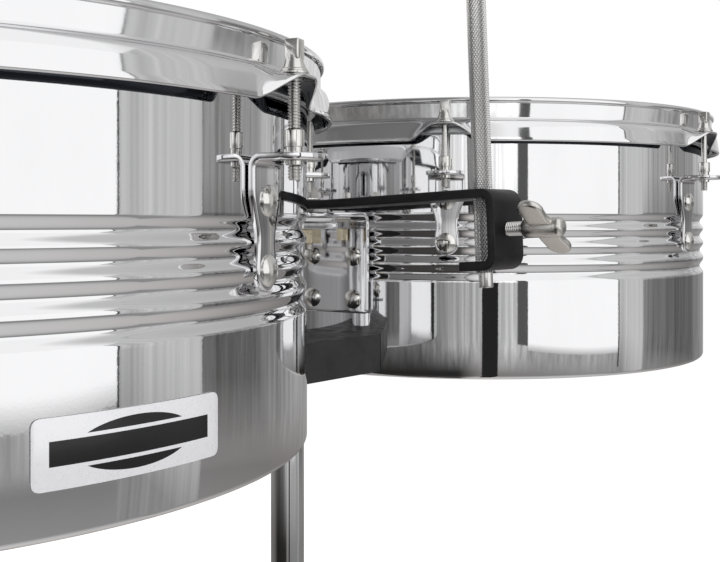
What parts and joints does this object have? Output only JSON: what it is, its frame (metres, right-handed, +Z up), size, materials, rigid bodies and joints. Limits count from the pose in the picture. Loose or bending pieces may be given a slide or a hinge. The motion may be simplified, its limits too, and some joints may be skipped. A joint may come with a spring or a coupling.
{
  "type": "timbales on a stand",
  "caption": "Pair of metal timbales clamped either side of a height-adjustable tripod stand, with tuning bolts and a cowbell arm holding a knurled rod.",
  "frame": {"origin": "middle of the base of the whole object's box, on the floor", "axes": "+Z up, +X from the larger drum to the smaller one, +Y towards the player; the cowbell arm points along -Y"},
  "size_m": [0.8612, 0.58, 1.134],
  "materials": {
    "chrome": "bright chrome plate on steel",
    "nickel": "nickel-plated steel, bright with fine machining lines",
    "black_coat": "satin black powder coat on steel",
    "black_plastic": "matt black moulded nylon",
    "head_film": "milky coated polyester film",
    "badge_face": "satin aluminium foil plate, plain",
    "rubber": "matt black rubber"
  },
  "bodies": {
    "stand": {"base_tube": "chrome", "height_collar": "black_plastic", "leg_hub": "black_plastic"},
    "mast": {"post_tube": "chrome", "stand_top_plate": "chrome", "big_mount_plate": "chrome", "small_mount_plate": "chrome", "spacer_block": "black_plastic", "front_clamp_bolt": "nickel", "rear_clamp_bolt": "nickel", "cowbell_arm": "black_coat", "big_shell": "chrome", "big_head": "head_film", "big_hoop": "chrome", "badge": "badge_face", "small_shell": "chrome", "small_head": "head_film", "small_hoop": "chrome", "big_lug_1": "chrome", "big_lug_2": "chrome", "big_lug_3": "chrome", "big_lug_4": "chrome", "big_lug_5": "chrome", "big_lug_6": "chrome", "big_lug_7": "chrome", "big_lug_8": "chrome", "small_lug_1": "chrome", "small_lug_2": "chrome", "small_lug_3": "chrome", "small_lug_4": "chrome", "small_lug_5": "chrome", "small_lug_6": "chrome"},
    "big_bolt_1": {"big_bolt_1": "nickel"},
    "big_bolt_2": {"big_bolt_2": "nickel"},
    "big_bolt_3": {"big_bolt_3": "nickel"},
    "big_bolt_4": {"big_bolt_4": "nickel"},
    "big_bolt_5": {"big_bolt_5": "nickel"},
    "big_bolt_6": {"big_bolt_6": "nickel"},
    "big_bolt_7": {"big_bolt_7": "nickel"},
    "big_bolt_8": {"big_bolt_8": "nickel"},
    "small_bolt_1": {"small_bolt_1": "nickel"},
    "small_bolt_2": {"small_bolt_2": "nickel"},
    "small_bolt_3": {"small_bolt_3": "nickel"},
    "small_bolt_4": {"small_bolt_4": "nickel"},
    "small_bolt_5": {"small_bolt_5": "nickel"},
    "small_bolt_6": {"small_bolt_6": "nickel"},
    "bell_rod": {"cowbell_rod": "nickel"},
    "rod_wing_bolt": {"rod_wing_bolt": "nickel"},
    "height_wing_bolt": {"height_wing_bolt": "nickel"},
    "leg_collar": {"leg_collar": "black_plastic"},
    "collar_wing_bolt": {"collar_wing_bolt": "nickel"},
    "leg_1": {"leg_1": "chrome", "foot_1": "rubber"},
    "brace_1": {"brace_1": "chrome"},
    "leg_2": {"leg_2": "chrome", "foot_2": "rubber"},
    "brace_2": {"brace_2": "chrome"},
    "leg_3": {"leg_3": "chrome", "foot_3": "rubber"},
    "brace_3": {"brace_3": "chrome"}
  },
  "joints": [
    {"name": "height_slide", "type": "slide", "parent": "stand", "child": "mast", "axis": [0, 0, 1], "range_m": [-0.12, 0.1]},
    {"name": "big_bolt_1_turn", "type": "hinge", "parent": "mast", "child": "big_bolt_1", "pos_m": [-0.16287, -0.26326, 0.93], "axis": [0, 0, 1], "continuous": true},
    {"name": "big_bolt_2_turn", "type": "hinge", "parent": "mast", "child": "big_bolt_2", "pos_m": [-0.0435, -0.16238, 0.93], "axis": [0, 0, 1], "continuous": true},
    {"name": "big_bolt_3_turn", "type": "hinge", "parent": "mast", "child": "big_bolt_3", "pos_m": [-0.03042, -0.00664, 0.93], "axis": [0, 0, 1], "continuous": true},
    {"name": "big_bolt_4_turn", "type": "hinge", "parent": "mast", "child": "big_bolt_4", "pos_m": [-0.1313, 0.11273, 0.93], "axis": [0, 0, 1], "continuous": true},
    {"name": "big_bolt_5_turn", "type": "hinge", "parent": "mast", "child": "big_bolt_5", "pos_m": [-0.28704, 0.12581, 0.93], "axis": [0, 0, 1], "continuous": true},
    {"name": "big_bolt_6_turn", "type": "hinge", "parent": "mast", "child": "big_bolt_6", "pos_m": [-0.40641, 0.02493, 0.93], "axis": [0, 0, 1], "continuous": true},
    {"name": "big_bolt_7_turn", "type": "hinge", "parent": "mast", "child": "big_bolt_7", "pos_m": [-0.41949, -0.13081, 0.93], "axis": [0, 0, 1], "continuous": true},
    {"name": "big_bolt_8_turn", "type": "hinge", "parent": "mast", "child": "big_bolt_8", "pos_m": [-0.31861, -0.25018, 0.93], "axis": [0, 0, 1], "continuous": true},
    {"name": "small_bolt_1_turn", "type": "hinge", "parent": "mast", "child": "small_bolt_1", "pos_m": [0.40727, 0.02576, 0.9355], "axis": [0, 0, 1], "continuous": true},
    {"name": "small_bolt_2_turn", "type": "hinge", "parent": "mast", "child": "small_bolt_2", "pos_m": [0.24143, 0.12151, 0.9355], "axis": [0, 0, 1], "continuous": true},
    {"name": "small_bolt_3_turn", "type": "hinge", "parent": "mast", "child": "small_bolt_3", "pos_m": [0.07558, 0.02576, 0.9355], "axis": [0, 0, 1], "continuous": true},
    {"name": "small_bolt_4_turn", "type": "hinge", "parent": "mast", "child": "small_bolt_4", "pos_m": [0.07558, -0.16574, 0.9355], "axis": [0, 0, 1], "continuous": true},
    {"name": "small_bolt_5_turn", "type": "hinge", "parent": "mast", "child": "small_bolt_5", "pos_m": [0.24143, -0.26149, 0.9355], "axis": [0, 0, 1], "continuous": true},
    {"name": "small_bolt_6_turn", "type": "hinge", "parent": "mast", "child": "small_bolt_6", "pos_m": [0.40727, -0.16574, 0.9355], "axis": [0, 0, 1], "continuous": true},
    {"name": "bell_rod_slide", "type": "slide", "parent": "mast", "child": "bell_rod", "axis": [0, 0.0419, 0.9991], "range_m": [-0.15, 0.02]},
    {"name": "rod_wing_bolt_turn", "type": "hinge", "parent": "mast", "child": "rod_wing_bolt", "pos_m": [0.01456, -0.24791, 0.8739], "axis": [0, -0.9991, 0.0419], "continuous": true},
    {"name": "height_wing_bolt_turn", "type": "hinge", "parent": "stand", "child": "height_wing_bolt", "pos_m": [0.01456, -0.11913, 0.543], "axis": [0, -1, 0], "continuous": true},
    {"name": "leg_collar_slide", "type": "slide", "parent": "stand", "child": "leg_collar", "axis": [0, 0, 1], "range_m": [0, 0.115]},
    {"name": "collar_wing_bolt_turn", "type": "hinge", "parent": "leg_collar", "child": "collar_wing_bolt", "pos_m": [0.01456, -0.12063, 0.35484], "axis": [0, -1, 0], "continuous": true},
    {"name": "leg_1_fold", "type": "hinge", "parent": "leg_collar", "child": "leg_1", "pos_m": [0.01456, -0.06563, 0.35484], "axis": [-1, 0, 0], "range_deg": [0, 39.5]},
    {"name": "brace_1_fold", "type": "hinge", "parent": "stand", "child": "brace_1", "pos_m": [0.01456, -0.06563, 0.072], "axis": [-1, 0, 0], "range_deg": [-39.5, 0]},
    {"name": "leg_2_fold", "type": "hinge", "parent": "leg_collar", "child": "leg_2", "pos_m": [-0.00883, -0.10613, 0.35484], "axis": [0.5, -0.866, 0], "range_deg": [0, 39.5]},
    {"name": "brace_2_fold", "type": "hinge", "parent": "stand", "child": "brace_2", "pos_m": [-0.00883, -0.10613, 0.072], "axis": [0.5, -0.866, 0], "range_deg": [-39.5, 0]},
    {"name": "leg_3_fold", "type": "hinge", "parent": "leg_collar", "child": "leg_3", "pos_m": [0.03794, -0.10613, 0.35484], "axis": [0.5, 0.866, 0], "range_deg": [0, 39.5]},
    {"name": "brace_3_fold", "type": "hinge", "parent": "stand", "child": "brace_3", "pos_m": [0.03794, -0.10613, 0.072], "axis": [0.5, 0.866, 0], "range_deg": [-39.5, 0]}
  ],
  "couplings": [
    {"joint": "leg_1_fold", "follows": "leg_collar_slide", "rad_per_m": 5.9189},
    {"joint": "brace_1_fold", "follows": "leg_collar_slide", "rad_per_m": -5.9189},
    {"joint": "leg_2_fold", "follows": "leg_collar_slide", "rad_per_m": 5.9189},
    {"joint": "brace_2_fold", "follows": "leg_collar_slide", "rad_per_m": -5.9189},
    {"joint": "leg_3_fold", "follows": "leg_collar_slide", "rad_per_m": 5.9189},
    {"joint": "brace_3_fold", "follows": "leg_collar_slide", "rad_per_m": -5.9189}
  ]
}
